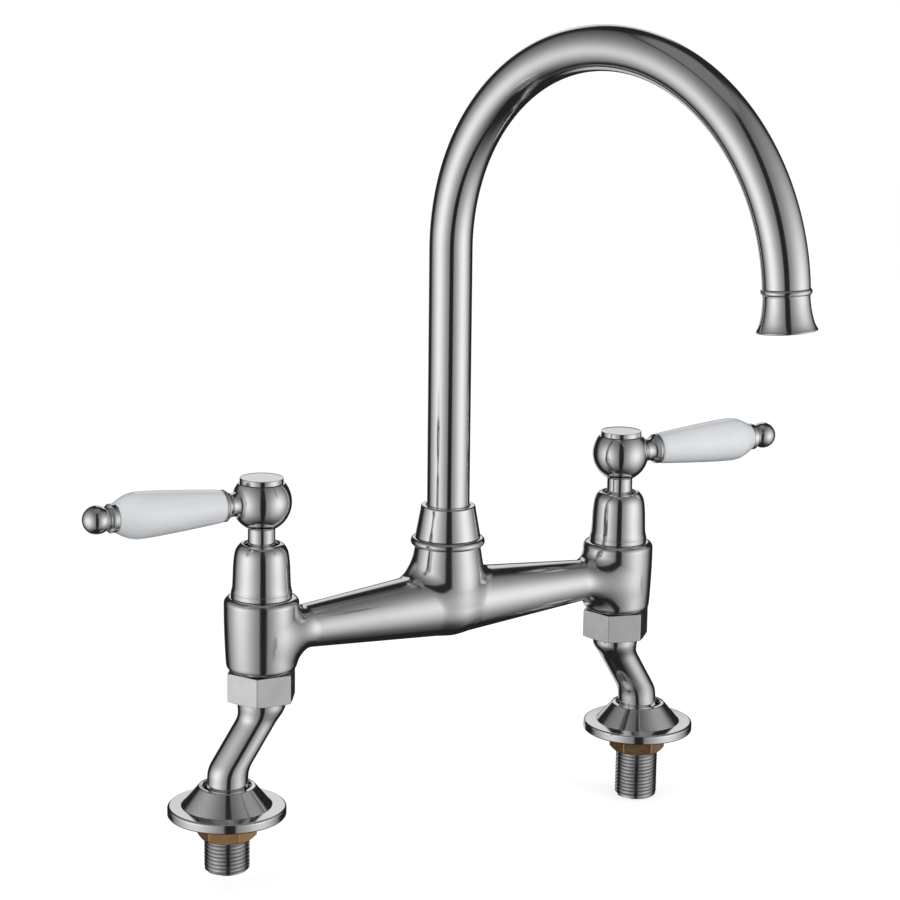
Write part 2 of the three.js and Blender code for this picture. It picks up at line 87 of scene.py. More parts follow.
# ---------------------------------------------------------------- outlines
def rounded(points, closed=False, turn=9.0):
    """The outline through (r, z) or (r, z, fillet) corners, with an arc of the fillet's radius at each.

    An arc has a point at least every turn degrees.
    """
    least_bend = 0.02  # radians, below which a corner stays as it is
    most = 0.49  # of an edge that an arc may take up
    count = len(points)
    out = []
    for i, point in enumerate(points):
        here = np.array(point[:2], float)
        fillet = point[2] if len(point) > 2 else 0.0
        if fillet == 0 or (not closed and i in (0, count - 1)):
            out.append(here)
            continue
        before = np.array(points[i - 1][:2], float) - here
        after = np.array(points[(i + 1) % count][:2], float) - here
        a, b = before / np.linalg.norm(before), after / np.linalg.norm(after)
        bend = math.pi - math.acos(np.clip(a @ b, -1, 1))
        if bend < least_bend:
            out.append(here)
            continue
        longest = most * np.linalg.norm(before), most * np.linalg.norm(after)
        reach = min(fillet * math.tan(bend / 2), *longest)
        radius = reach / math.tan(bend / 2)
        middle = (a + b) / np.linalg.norm(a + b)
        centre = here + middle * radius / math.cos(bend / 2)
        start, end = here + a * reach - centre, here + b * reach - centre
        steps = max(2, math.ceil(math.degrees(bend) / turn))
        for k in range(steps + 1):
            s = k / steps
            weight_a = math.sin((1 - s) * bend) / math.sin(bend)
            weight_b = math.sin(s * bend) / math.sin(bend)
            out.append(centre + start * weight_a + end * weight_b)
    return np.array(out)


def spline(points, steps):
    """A smooth curve through the points, in so many steps from one to the next."""
    p = np.array(points, float)
    p = np.vstack([2 * p[0] - p[1], p, 2 * p[-1] - p[-2]])
    out = []
    for i in range(1, len(p) - 2):
        for s in np.arange(steps) / steps:
            out.append(
                0.5
                * (
                    2 * p[i]
                    + (p[i + 1] - p[i - 1]) * s
                    + (2 * p[i - 1] - 5 * p[i] + 4 * p[i + 1] - p[i + 2]) * s**2
                    + (3 * p[i] - p[i - 1] - 3 * p[i + 1] + p[i + 2]) * s**3
                )
            )
    out.append(p[-2])
    return np.array(out)


def arc(r, z, radius, start, end, steps):
    """An arc round (r, z) from the start to the end angle in degrees."""
    angle = np.radians(np.linspace(start, end, steps + 1))
    return np.stack([r + radius * np.cos(angle), z + radius * np.sin(angle)], -1)


def joined(*runs):
    """The runs of points as one outline."""
    return np.vstack([np.array(run, float)[:, :2] for run in runs])


# ---------------------------------------------------------------- surfaces
def grid(points, around=True, along=False):
    """Quads over points[row, column]; around joins the last column to the first, along the last row."""
    rows, columns = points.shape[:2]
    i = np.arange(rows if along else rows - 1)
    j = np.arange(columns if around else columns - 1)
    a, b = (m.ravel() for m in np.meshgrid(i, j, indexing="ij"))
    c, d = (a + 1) % rows, (b + 1) % columns
    quads = np.stack([a * columns + b, a * columns + d, c * columns + d, c * columns + b], -1)
    return points.reshape(-1, 3), quads


def turned(outline, closed=False, around=AROUND):
    """The outline turned about Z. It starts and ends on the axis, or closes on itself."""
    angle = np.arange(around) * math.tau / around
    r, z = outline[:, :1], outline[:, 1:]
    points = np.stack([r * np.cos(angle), r * np.sin(angle), z + 0 * angle], -1)
    return grid(points, along=closed)


def moved(surface, matrix):
    """The surface, which is a pair of points and quads, moved by the matrix."""
    points, quads = surface
    m = np.array(matrix)
    return points @ m[:3, :3].T + m[:3, 3], quads


def shift(x=0.0, y=0.0, z=0.0):
    return Matrix.Translation((x, y, z))


def turn_z(degrees):
    return Matrix.Rotation(math.radians(degrees), 4, "Z")


PULLS = 12  # steps of at most half a cell in which a point is drawn onto the surface


def implicit(field, low, high, step):
    """Points, quads and normals of the field's zero surface in a box, with cells of the step's size."""
    axes = [np.arange(a, b + step, step) for a, b in zip(low, high)]
    lattice = np.stack(np.meshgrid(*axes, indexing="ij"), -1)
    inside = field(lattice) < 0
    nx, ny, nz = (n - 1 for n in inside.shape)
    count = sum(
        inside[i : nx + i, j : ny + j, k : nz + k].astype(int)
        for i in (0, 1)
        for j in (0, 1)
        for k in (0, 1)
    )
    mixed = (count > 0) & (count < 8)
    index = np.full(mixed.shape, -1)
    index[mixed] = np.arange(mixed.sum())
    points = lattice[:-1, :-1, :-1][mixed] + step / 2
    quads = []
    for axis in range(3):
        order = (axis, (axis + 1) % 3, (axis + 2) % 3)
        sign = np.transpose(inside, order)
        cell = np.transpose(index, order)
        a, b, c = np.nonzero(sign[1:, 1:-1, 1:-1] != sign[:-1, 1:-1, 1:-1])
        around_edge = cell[a, b, c], cell[a, b + 1, c], cell[a, b + 1, c + 1], cell[a, b, c + 1]
        quads.append(np.stack(around_edge, -1))
    for _ in range(PULLS):
        slope = gradient(field, points)
        away = field(points)[:, None] * slope / np.maximum((slope**2).sum(-1, keepdims=True), 1e-6)
        length = np.linalg.norm(away, axis=-1, keepdims=True)
        points = points - away * np.minimum(1, 0.5 * step / np.maximum(length, 1e-9))
    slope = gradient(field, points)
    return points, np.vstack(quads), slope / np.linalg.norm(slope, axis=-1, keepdims=True)


def gradient(field, points, reach=0.01):
    """The field's slope at the points, from its values a reach to either side."""
    out = np.empty_like(points)
    for axis in range(3):
        offset = np.zeros(3)
        offset[axis] = reach
        out[:, axis] = (field(points + offset) - field(points - offset)) / (2 * reach)
    return out


def fillet_union(a, b, radius):
    """Nearer of two distances, with the inside corner between them filled by an arc."""
    corner = np.hypot(np.maximum(radius - a, 0), np.maximum(radius - b, 0))
    return np.maximum(radius, np.minimum(a, b)) - corner


def round_cut(a, b, radius):
    """Farther of two distances, with the outside corner between them rounded by an arc."""
    corner = np.hypot(np.maximum(radius + a, 0), np.maximum(radius + b, 0))
    return np.minimum(-radius, np.maximum(a, b)) + corner


# ---------------------------------------------------------------- materials
class Graph:
    """Adds nodes to a material's or the world's tree."""

    def __init__(self, tree):
        self.tree = tree
        tree.nodes.clear()

    def node(self, kind, settings=None, **inputs):
        """A node with these settings, and with values or sockets for its inputs."""
        made = self.tree.nodes.new(kind)
        for key, value in (settings or {}).items():
            setattr(made, key, value)
        for key, value in inputs.items():
            self.feed(made.inputs[key.replace("_", " ")], value)
        return made

    def feed(self, socket, value):
        if isinstance(value, bpy.types.NodeSocket):
            self.tree.links.new(value, socket)
        else:
            socket.default_value = value

    def math(self, operation, *values):
        made = self.node("ShaderNodeMath", {"operation": operation})
        for socket, value in zip(made.inputs, values):
            self.feed(socket, value)
        return made.outputs[0]

    def product(self, first, *others):
        for other in others:
            first = self.math("MULTIPLY", first, other)
        return first

    def vector(self, operation, *values):
        made = self.node("ShaderNodeVectorMath", {"operation": operation})
        for socket, value in zip(made.inputs, values):
            self.feed(socket, value)
        return made

    def dot(self, vector, direction):
        return self.vector("DOT_PRODUCT", vector, direction).outputs["Value"]

    def span(self, value, start, end, low=0.0, high=1.0, smooth=True):
        """Goes from low to high while the value goes from start to end."""
        made = self.node("ShaderNodeMapRange", {"interpolation_type": "SMOOTHSTEP" if smooth else "LINEAR"})
        for socket, v in zip(made.inputs, (value, start, end, low, high)):
            self.feed(socket, v)
        return made.outputs["Result"]

    def fade(self, angle, start, end, low=0.0, high=1.0):
        """Like span, from a start to an end in degrees."""
        return self.span(angle, math.radians(start), math.radians(end), low, high)

    def ramp(self, value, stops):
        """A colour between those of two stops, each a position and a colour."""
        made = self.node("ShaderNodeValToRGB", Fac=value)
        for element, (position, colour) in zip(made.color_ramp.elements, stops):
            element.position = position
            element.color = (*colour, 1)
        return made.outputs["Color"]


def new_material(name):
    material = bpy.data.materials.new(name)
    material.use_nodes = True
    return material, Graph(material.node_tree)


FINER = 9  # how much finer the roughness drifts than the colour


def finish_material(name, dark, light, metallic, rough, scale, bump=0.0, bump_scale=900.0, **shader):
    """A procedural finish: colour and roughness drift over two noises, with an optional fine bump."""
    material, g = new_material(name)
    place = g.node("ShaderNodeTexCoord").outputs["Object"]
    wide = g.node("ShaderNodeTexNoise", Vector=place, Scale=scale, Detail=4.0, Roughness=0.55)
    fine = g.node("ShaderNodeTexNoise", Vector=place, Scale=scale * FINER, Detail=3.0, Roughness=0.6)
    colour = g.ramp(wide.outputs["Fac"], [(0.3, dark), (0.7, light)])
    roughness = g.span(fine.outputs["Fac"], 0.25, 0.75, rough[0], rough[1])
    principled = g.node("ShaderNodeBsdfPrincipled", Base_Color=colour, Roughness=roughness, Metallic=metallic)
    for key, value in shader.items():
        principled.inputs[key.replace("_", " ")].default_value = value
    if bump:
        grain = g.node("ShaderNodeTexNoise", Vector=place, Scale=bump_scale, Detail=2.0)
        lifted = g.node("ShaderNodeBump", Strength=bump, Distance=0.0002, Height=grain.outputs["Fac"])
        g.feed(principled.inputs["Normal"], lifted.outputs["Normal"])
    out = g.node("ShaderNodeOutputMaterial", Surface=principled.outputs["BSDF"])
    out.is_active_output = True
    return material


# Name, dark and light colour, metallic, range of roughness, scale of the drift, bump and scale of the bump.
CHROME = finish_material("chrome", (0.755, 0.76, 0.765), (0.79, 0.795, 0.80), 1.0, (0.085, 0.12), 30)
CAST_CHROME = finish_material("cast_chrome", (0.71, 0.715, 0.72), (0.76, 0.765, 0.77), 1.0, (0.11, 0.145), 25)
NUT_CHROME = finish_material(
    "nut_chrome", (0.64, 0.64, 0.645), (0.72, 0.72, 0.725), 1.0, (0.18, 0.28), 120, 0.12, 1800.0
)
THREAD = finish_material("plated_thread", (0.50, 0.50, 0.51), (0.66, 0.66, 0.67), 1.0, (0.10, 0.22), 90, 0.2)
BRASS = finish_material("brass", (0.62, 0.37, 0.16), (0.78, 0.50, 0.24), 1.0, (0.26, 0.38), 90, 0.1, 1500.0)
STEEL = finish_material("steel", (0.48, 0.485, 0.49), (0.58, 0.585, 0.59), 1.0, (0.2, 0.34), 80, 0.1)
PORCELAIN = finish_material(
    "porcelain",
    (0.74, 0.76, 0.785),
    (0.77, 0.79, 0.81),
    0.0,
    (0.08, 0.12),
    40,
    Coat_Weight=0.6,
    Coat_Roughness=0.03,
)
DISC = finish_material("disc_ceramic", (0.74, 0.71, 0.65), (0.82, 0.79, 0.73), 0.0, (0.25, 0.4), 60)
RUBBER = finish_material("rubber", (0.012, 0.012, 0.013), (0.03, 0.03, 0.032), 0.0, (0.65, 0.85), 150, 0.3)
PLASTIC = finish_material("plastic", (0.03, 0.032, 0.035), (0.055, 0.057, 0.06), 0.0, (0.4, 0.55), 120, 0.15)

SLOT_MATERIAL = {
    "chrome": CHROME,
    "brass": BRASS,
    "steel": STEEL,
    "porcelain": PORCELAIN,
    "disc_ceramic": DISC,
    "rubber": RUBBER,
    "plastic": PLASTIC,
}


# ---------------------------------------------------------------- pieces
SAME_POINT = 2e-7  # metres
SHORTEST_EDGE = 1e-8  # metres
SHARP = 33.0  # degrees between two faces, from which their edge is sharp
SHARP_NUT = 50.0


def placed(name, data):
    made = bpy.data.objects.new(name, data)
    bpy.context.scene.collection.objects.link(made)
    return made


def piece(name, body, slot, nodes, surfaces, materials=None, normals=None, sharp=SHARP):
    """One visible piece of closed surfaces, which stands for the CAD nodes and rides on the body.

    Each surface takes the material of its own place in the list, or the only one, or the slot's.
    """
    mesh = bpy.data.meshes.new(name)
    bm = bmesh.new()
    for k, (points, quads) in enumerate(surfaces):
        verts = [bm.verts.new(p * MM) for p in points]
        faces = []
        for quad in quads:
            corners = list(dict.fromkeys(verts[i] for i in quad))
            if len(corners) > 2:
                faces.append(bm.faces.new(corners))
        for face in faces:
            face.smooth = True
            face.material_index = k if materials and len(materials) > 1 else 0
    bmesh.ops.remove_doubles(bm, verts=bm.verts, dist=SAME_POINT)
    bmesh.ops.dissolve_degenerate(bm, edges=bm.edges, dist=SHORTEST_EDGE)
    bmesh.ops.recalc_face_normals(bm, faces=bm.faces)
    bm.to_mesh(mesh)
    bm.free()
    for material in materials or [SLOT_MATERIAL[slot]]:
        mesh.materials.append(material)
    mesh.set_sharp_from_angle(angle=math.radians(sharp))
    made = placed(name, mesh)
    if normals is None:
        weighted = made.modifiers.new("weighted", "WEIGHTED_NORMAL")
        weighted.keep_sharp = True
    else:
        set_normals(mesh, *normals)
    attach(made, body)
    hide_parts(*nodes)


def set_normals(mesh, points, directions):
    """Gives the vertices at these points these normals; the others keep their own."""
    digits = 4  # of a millimetre, by which a point is found again
    lookup = {tuple(np.round(p, digits)): d for p, d in zip(points, directions)}
    corner = np.empty(len(mesh.loops) * 3)
    mesh.corner_normals.foreach_get("vector", corner)
    corner = corner.reshape(-1, 3)
    vertex = np.empty(len(mesh.loops), dtype=int)
    mesh.loops.foreach_get("vertex_index", vertex)
    place = np.empty(len(mesh.vertices) * 3)
    mesh.vertices.foreach_get("co", place)
    place = place.reshape(-1, 3) / MM
    own = {i: lookup.get(tuple(np.round(p, digits))) for i, p in enumerate(place)}
    for loop, v in enumerate(vertex):
        if own[v] is not None:
            corner[loop] = own[v]
    mesh.normals_split_custom_set(corner.tolist())


# ---------------------------------------------------------------- bridge casting
CURVE_STEPS = 60
HUB_R = 16.9
HUB_WAIST_Z = 83.0
HUB_DOME = 13.8  # depth of the hub's round underside
HUB_POWER = 2.0  # with 2 it is half an ellipsoid
HUB_CURVE = spline(
    [
        (83, HUB_R),
        (85, HUB_R + 0.03),
        (89, 17.35),
        (94, 17.7),
        (99, 17.5),
        (103, 17),
        (107, 16.3),
        (112, 15.5),
        (114, 15.3),
    ],
    CURVE_STEPS,
)
BEAD_Z = 114.1
HUB_EDGE = 0.3  # radius of the hub's upper edge

ARM_DROOP = 0.009  # half a degree
ARM_R = 16.25  # in the middle
ARM_TAPER = 0.079
ARM_SHORT = 7.0  # from an arm's end, which is inside the valve body, to the valve's axis

BODY_CURVE = spline(
    [(60, 15.4), (66.4, 16.0), (71.5, 16.4), (78, 16.75), (90, 17.15), (102, 17.2)],
    CURVE_STEPS,
)
BODY_LOW_Z = 66.4
BODY_HIGH_Z = 101.0
BODY_EDGE = 3.0  # radius of a valve body's edges

HUB_FILLET = 2.5  # radius of the fillet between hub and arms, at their sides and below
FILLET_ON_TOP = 3.0  # how much larger it is on top
FILLET_AT_BACK = 5.0  # and how much more so on top at the back
BACK_Y = 8.0  # from here on it is full
BODY_FILLET = 6.6  # mean radius of the fillet between arms and valve bodies, on top and below
FILLET_BESIDE = 4.4  # how much larger it is at the sides of the arms
FILLET_FALL = 1.2  # how much smaller it is on top, and larger below
FALL_HEIGHT = 6.0  # over which it changes


def casting_field(p):
    """About the distance of the points from hub, arms and valve bodies, negative inside."""
    x, y, z = np.abs(p[..., 0]), p[..., 1], p[..., 2]
    radial = np.hypot(x, y)
    depth = np.maximum(HUB_WAIST_Z - z, 0) / HUB_DOME
    dome = ((radial / HUB_R) ** HUB_POWER + depth**HUB_POWER) ** (1 / HUB_POWER)
    wall = np.interp(z, *HUB_CURVE.T)
    hub = np.where(z < HUB_WAIST_Z, HUB_R * (dome - 1), radial - wall)
    hub = round_cut(hub, z - BEAD_Z, HUB_EDGE)
    rise = z - (ARM_Z - ARM_DROOP * x)
    arm = np.hypot(y, rise) - (ARM_R - ARM_TAPER * x)
    arm = np.maximum(arm, x - POST_X + ARM_SHORT)
    body = np.hypot(x - POST_X, y) - np.interp(z, *BODY_CURVE.T)
    body = round_cut(round_cut(body, z - BODY_HIGH_Z, BODY_EDGE), BODY_LOW_Z - z, BODY_EDGE)
    # The numbers added below keep these two shares smooth on the arm's axis.
    above = np.maximum(rise, 0) / (np.hypot(y, rise) + 0.5)
    beside = y**2 / (y**2 + rise**2 + 0.1)
    behind = np.clip(y / BACK_Y, 0, 1)
    hub_fillet = HUB_FILLET + (FILLET_ON_TOP + FILLET_AT_BACK * behind) * above**1.5
    body_fillet = BODY_FILLET + FILLET_BESIDE * beside - FILLET_FALL * np.tanh(rise / FALL_HEIGHT)
    return fillet_union(fillet_union(hub, arm, hub_fillet), body, body_fillet)


# The box that holds the surface, and the size of its cells.
CASTING_LOW = (-POST_X - 18.5, -19.4, 65.2)
CASTING_HIGH = (POST_X + 18.5, 19.4, 115.4)
CASTING_CELL = 0.7
points, quads, directions = implicit(casting_field, CASTING_LOW, CASTING_HIGH, CASTING_CELL)
bead = turned(
    joined(
        [(0, 112.2), (15.0, 112.2)],
        arc(15.65, BEAD_Z, 1.95, -72, 72, 14),
        [(15.3, 116.05), (11.7, 116.05), (11.7, 122.5), (0, 122.5)],
    )
)
spigot = turned(
    rounded(
        [
            (0, 59.4),
            (7.5, 59.4),
            (7.5, 58.8),
            (12.6, 58.8, 0.2),
            (13.0, 59.3, 0.2),
            (13.0, 66.8),
            (0, 66.8),
        ]
    )
)
neck = turned(rounded([(0, 100.4), (12.2, 100.4), (12.2, 106.0, 0.3), (0, 106.0)]))
ends = [moved(end, shift(side["post"])) for end in (spigot, neck) for side in SIDES]
piece(
    "bridge_casting",
    "bridge",
    "chrome",
    ["bridge_body"],
    [(points, quads), bead, *ends],
    materials=[CAST_CHROME],
    normals=(points, directions),
)

collar = turned(
    rounded(
        [
            (11.9, 116.25),
            (15.5, 116.25, 0.25),
            (13.1, 129.4, 1.0),
            (12.9, 131.6, 1.0),
            (10.45, 131.6, 0.3),
            (10.45, 126.8),
            (11.9, 126.8),
        ],
        closed=True,
    ),
    closed=True,
)
piece("collar", "bridge", "chrome", ["spout_collar"], [collar])

# ---------------------------------------------------------------- spout
TUBE_COLUMNS = 80
TUBE_ROWS = 8  # of the straight part
ARCH_ROWS = 200
ARCH_BORE_STEP = 8  # the arch's bore has a ring only at each eighth row
BORE_FOOT_R = 8.8
BORE_FOOT_Z = 139.0  # below it the bore is narrowest
ARCH_BORE_R = 9.0
ACROSS = np.array([1.0, 0, 0])

arch_plane = Matrix.Rotation(SPOUT_YAW, 4, "Z")


def leaned(surface):
    """The spout stands a third of a degree off the upright, towards the viewer's left."""
    points, quads = surface
    rise = np.maximum(points[:, 2:] - TUBE_FOOT_Z, 0)
    return points + rise * SPOUT_LEAN * np.array(LEAN_WAY), quads


def arch_frame(turned_by):
    """Point and outward direction of the arch's centre line in the XZ plane."""
    centre = (ARCH_R * (1 - math.cos(turned_by)), 0, ARCH_START_Z + ARCH_R * math.sin(turned_by))
    return np.array(centre), np.array([math.cos(turned_by), 0, -math.sin(turned_by)])


def tube_ring(centre, across, radius):
    angle = np.arange(TUBE_COLUMNS)[:, None] * math.tau / TUBE_COLUMNS
    return np.array(centre) + radius * (np.cos(angle) * across + np.sin(angle) * np.array([0, 1.0, 0]))


rings = [tube_ring((0, 0, TUBE_FOOT_Z), ACROSS, radius) for radius in (BORE_FOOT_R, SPOUT_R)]
for z in np.linspace(TUBE_FOOT_Z + 6, ARCH_START_Z - 4, TUBE_ROWS):
    rings.append(tube_ring((0, 0, z), ACROSS, SPOUT_R))
for k in range(ARCH_ROWS + 1):
    rings.append(tube_ring(*arch_frame(ARCH_SWEEP * k / ARCH_ROWS), SPOUT_R))
for k in range(0, ARCH_ROWS + 1, ARCH_BORE_STEP):
    rings.append(tube_ring(*arch_frame(ARCH_SWEEP * (1 - k / ARCH_ROWS)), ARCH_BORE_R))
rings.append(tube_ring((0, 0, BORE_FOOT_Z), ACROSS, BORE_FOOT_R))
tube = moved(grid(np.array(rings), along=True), arch_plane)
piece("gooseneck_tube", "spout", "chrome", ["spout_tube"], [leaned(tube)])

end_centre, _ = arch_frame(ARCH_SWEEP)
# Turned about +Z, which then points down the outlet from the end of the tube.
outlet = arch_plane @ shift(*end_centre) @ Matrix.Rotation(ARCH_SWEEP, 4, "Y")
nozzle_outside = joined(
    [(7.6, -3), (8.4, -3), (8.4, 0.12), (9.9, 0.12)],
    arc(9.35, 1.36, 1.4, -62, 62, 12),
    rounded([(9.95, 2.72), (9.82, 3.4, 0.8)])[1:],
    spline(
        [(9.82, 3.6), (9.85, 4.66), (10.05, 7.2), (10.4, 9.9), (10.95, 12.7), (11.5, 14.7), (12.2, 16.4)],
        5,
    ),
    spline([(12.55, 16.95), (12.8, 17.35), (12.78, 17.72), (12.5, 17.9)], 4),
    spline([(12.15, 17.82), (11.6, 16.9), (10.7, 15.1), (9.9, 13.3), (9.5, 12.5)], 4),
    [(9.4, 12.4), (9.4, 4.4), (7.6, 4.4)],
)


MOUTH_DIP = math.radians(2.0)
DIP_START = 4  # down the outlet
DIP_LENGTH = 14


def dipped(surface):
    """The mouth of the nozzle dips on the viewer's left."""
    points, quads = surface
    turned_by = MOUTH_DIP * np.clip((points[:, 2] - DIP_START) / DIP_LENGTH, 0, 1)
    across = np.array((outlet.to_3x3().inverted() @ Vector(LEAN_WAY)).normalized())
    return points + np.outer(turned_by * (points @ across), (0, 0, 1)), quads


nozzle = moved(dipped(turned(nozzle_outside, closed=True)), outlet)
piece("nozzle", "spout", "chrome", ["spout_nozzle"], [leaned(nozzle)])

aerator = turned(
    rounded(
        [(6.9, 6.1), (9.15, 6.1), (9.15, 12.6, 0.8), (6.2, 12.6, 0.3), (6.2, 12.0), (6.9, 12.0)],
        closed=True,
    ),
    closed=True,
)
piece("aerator_ring", "spout", "steel", ["aerator_housing"], [leaned(moved(aerator, outlet))])
ridge = [(0.0, 11.0), (0.22, 11.8), (0.44, 11.8), (0.66, 11.0)]
ridges = [(r + out, z) for r in (0.6, 1.5, 2.4, 3.3, 4.2, 5.1, 6.0) for out, z in ridge]
screen = joined([(0, 6.3), (6.65, 6.3), (6.65, 11.8)], ridges[::-1], [(0, 11.0)])
piece("aerator_screen", "spout", "plastic", ["aerator_insert"], [leaned(moved(turned(screen), outlet))])
seal = turned(joined([(6.5, 4.55), (9.1, 4.55), (9.1, 5.95), (6.5, 5.95)]), closed=True)
piece("aerator_seal", "spout", "rubber", ["aerator_washer"], [leaned(moved(seal, outlet))])


# ---------------------------------------------------------------- nuts
NUT_EDGE = 0.45  # radius of a nut's upright edges
NUT_CHAMFER = 0.25  # how far inside its flats the chamfers start
FLAT_COLUMNS = 15


def hexagon_nut(across_corners, low, high, turn, lower, upper, bore):
    """A hexagon nut, column by column, with small fillets and a bore.

    Its turned chamfers take the lower and the upper height off its corners. It is turned by degrees.
    """
    corner = across_corners / 2
    flat = corner * math.cos(math.pi / 6)
    inset = NUT_EDGE * math.tan(math.pi / 6)
    columns = []
    for side in range(6):
        start, end = math.radians(60 * side), math.radians(60 * side + 60)
        a = np.array([math.cos(start), math.sin(start)]) * corner
        b = np.array([math.cos(end), math.sin(end)]) * corner
        along = (b - a) / np.linalg.norm(b - a)
        middle = (start + end) / 2
        outward = np.array([math.cos(middle), math.sin(middle)])
        for s in np.linspace(0, 1, FLAT_COLUMNS):
            columns.append(a + along * inset + (b - a - 2 * along * inset) * s)
        centre = b - along * inset - outward * NUT_EDGE
        for s in (0.25, 0.5, 0.75):
            lean = middle + s * math.pi / 3
            columns.append(centre + NUT_EDGE * np.array([math.cos(lean), math.sin(lean)]))
    chamfer_r = flat - NUT_CHAMFER
    rings = []
    for point in columns:
        radius = np.linalg.norm(point)
        past = max(radius - chamfer_r, 0.0) / (corner - flat + NUT_CHAMFER)
        bottom, top = low + lower * past, high - upper * past
        rim = min(radius, chamfer_r)
        outline = rounded(
            [
                (bore, low, 0.3),
                (rim - 0.15, low, 0.3),
                (radius, bottom + 0.02, 0.35),
                (radius, top - 0.02, 0.25),
                (rim - 0.15, high, 0.2),
                (bore, high, 0.3),
            ],
            closed=True,
            turn=200.0,
        )
        unit = point / radius
        rings.append(np.stack([outline[:, 0] * unit[0], outline[:, 0] * unit[1], outline[:, 1]], -1))
    points = np.array(rings).transpose(1, 0, 2)
    return moved(grid(points, along=True), turn_z(turn))


# ---------------------------------------------------------------- legs
def below(corner, z):
    """How far below a corner of the leg's centre line the height is, with the corner rounded."""
    depth = corner - z
    eased = (depth + CRANK_EASE) ** 2 / (4 * CRANK_EASE)
    return np.where(np.abs(depth) >= CRANK_EASE, np.maximum(depth, 0), eased)


def cranked(surface, bent):
    """The leg leans by the bent distance between its two corners, and by the rest inside its flange."""
    points, quads = surface
    points = points.copy()
    z = points[:, 2]
    lean = (below(CRANK_UPPER_Z, z) - below(CRANK_LOWER_Z, z)) / (CRANK_UPPER_Z - CRANK_LOWER_Z)
    last = np.clip((LAST_BEND_Z - z) / (LAST_BEND_Z - LEG_FOOT_Z), 0, 1)
    points[:, 0] += bent * lean + (CRANK_OFFSET - bent) * last * last * (3 - 2 * last)
    return points, quads


TAIL_COLUMNS = 72
TAIL_END_R = THREAD_CREST_R - 1.0  # of the chamfer at the tail's end
TAIL_SLOPE = 0.9  # how fast the chamfer widens with height


def threaded_tail(low):
    """A pipe end with a helical thread outside, chamfered at the bottom, and a plain bore."""
    high = LEG_FOOT_Z
    # One turn of the thread: shares of the pitch, and radii.
    ridge = [
        (0.0, THREAD_ROOT_R),
        (0.13, THREAD_ROOT_R),
        (0.43, THREAD_CREST_R),
        (0.57, THREAD_CREST_R),
        (0.87, THREAD_ROOT_R),
    ]
    turns = math.ceil((high - low) / THREAD_PITCH) + 2
    rows = [((k + share) * THREAD_PITCH + low, radius) for k in range(-1, turns) for share, radius in ridge]
    levels, radii = np.array(rows).T[..., None]
    spread = np.linspace(0, 1, TAIL_COLUMNS + 1)
    z = levels + spread * THREAD_PITCH
    held = np.clip(z, low, high)
    r = np.minimum(radii, TAIL_END_R + (held - low) * TAIL_SLOPE)
    r = np.where((z > high) | (z < low), BORE_R, r)
    a = spread * math.tau
    points = np.stack([r * np.cos(a), r * np.sin(a), held], -1)
    floor, ceiling = (np.stack([BORE_R * np.cos(a), BORE_R * np.sin(a), 0 * a + z], -1) for z in (low, high))
    points = np.concatenate([floor[None], points, ceiling[None]])
    return grid(points, around=False, along=True)


def leg_surface(bent):
    """The cranked part of a leg, above its tail."""
    top = spline([(11.1, 50.5), (10.95, 48.7), (10.4, 46.6), (9.8, 44.6), (9.5, 43.0), (LEG_R, 41.3)], 5)
    heights = np.concatenate([np.linspace(40.5, 25.5, 5), np.linspace(25.0, 8.5, 36), [LEG_FOOT_Z]])
    outer = joined(
        rounded([(BORE_R, 56.8), (12.9, 56.8, 0.4), (12.9, 54.2, 0.3), (11.1, 54.0), (11.1, 52)]),
        top,
        [(LEG_R, z) for z in heights],
    )
    bore_heights = np.concatenate(
        [np.linspace(LEG_FOOT_Z, 25, 18), np.linspace(27, 41, 4), np.linspace(42.8, 49.8, 10)]
    )
    inner = [(BORE_R, z) for z in bore_heights]
    return cranked(turned(joined(outer, inner), closed=True), bent)


flange_outline = rounded(
    [
        (25.2, 0.05),
        (26.9, 0.05, 0.3),
        (27.28, 0.6, 0.4),
        (27.28, 4.6, 1.2),
        (20.8, 4.7, 0.5),
        (13.1, 14.0, 0.9),
        (11.3, 14.2, 0.5),
        (10.3, 12.8, 0.4),
        (10.3, 8.8),
        (10.7, 8.4),
        (10.7, 0.4),
        (13, 0.4),
        (13, 9.4),
        (19.4, 2.2),
        (25.2, 2.2),
    ],
    closed=True,
)
flange_surface = turned(flange_outline, closed=True, around=FLANGE_AROUND)

# ---------------------------------------------------------------- valves and handles
bonnet_outline = joined(
    rounded([(12.4, 101.15), (13.95, 101.15, 0.25), (13.95, 103.3, 0.1), (13.75, 103.45), (13.75, 103.55)]),
    spline(
        [
            (13.85, 103.65),
            (13.7, 104.2),
            (13.5, 105.0),
            (13.32, 106.4),
            (13.15, 110),
            (12.95, 115.2),
            (12.6, 119.2),
            (12.1, 122.0),
            (11.2, 124.0),
            (10.0, 125.4),
        ],
        5,
    ),
    spline([(9.4, 125.8), (8.8, 125.95), (8.2, 125.75), (7.75, 125.2), (7.6, 124.5)], 4),
    [(7.6, 123.8), (10.6, 119.4), (12.0, 110.8), (12.4, 106.6)],
)
STEM_R = 6.2
BALL_TOP_R = 8.7  # where the ball ends under the cap
ball_low = math.degrees(math.asin((STEM_R + 0.15) / BALL_R)) - 90
ball_high = math.degrees(math.asin(BALL_TOP_R / BALL_R))
ball = arc(0, BALL_Z, BALL_R, ball_low, ball_high, 44)
hub_outline = joined(
    rounded([(4.3, 119.4), (STEM_R, 119.4, 0.3), (STEM_R, 128)]),
    [(STEM_R, ball[0][1] - 0.25), (STEM_R + 0.03, ball[0][1] - 0.1)],
    ball,
    [(5.0, 153.8), (5.0, 147.2), (4.3, 147.2)],
)
CAP_R = 9.93
CAP_TOP_Z = 156.6
CROWN_DROP = 0.28
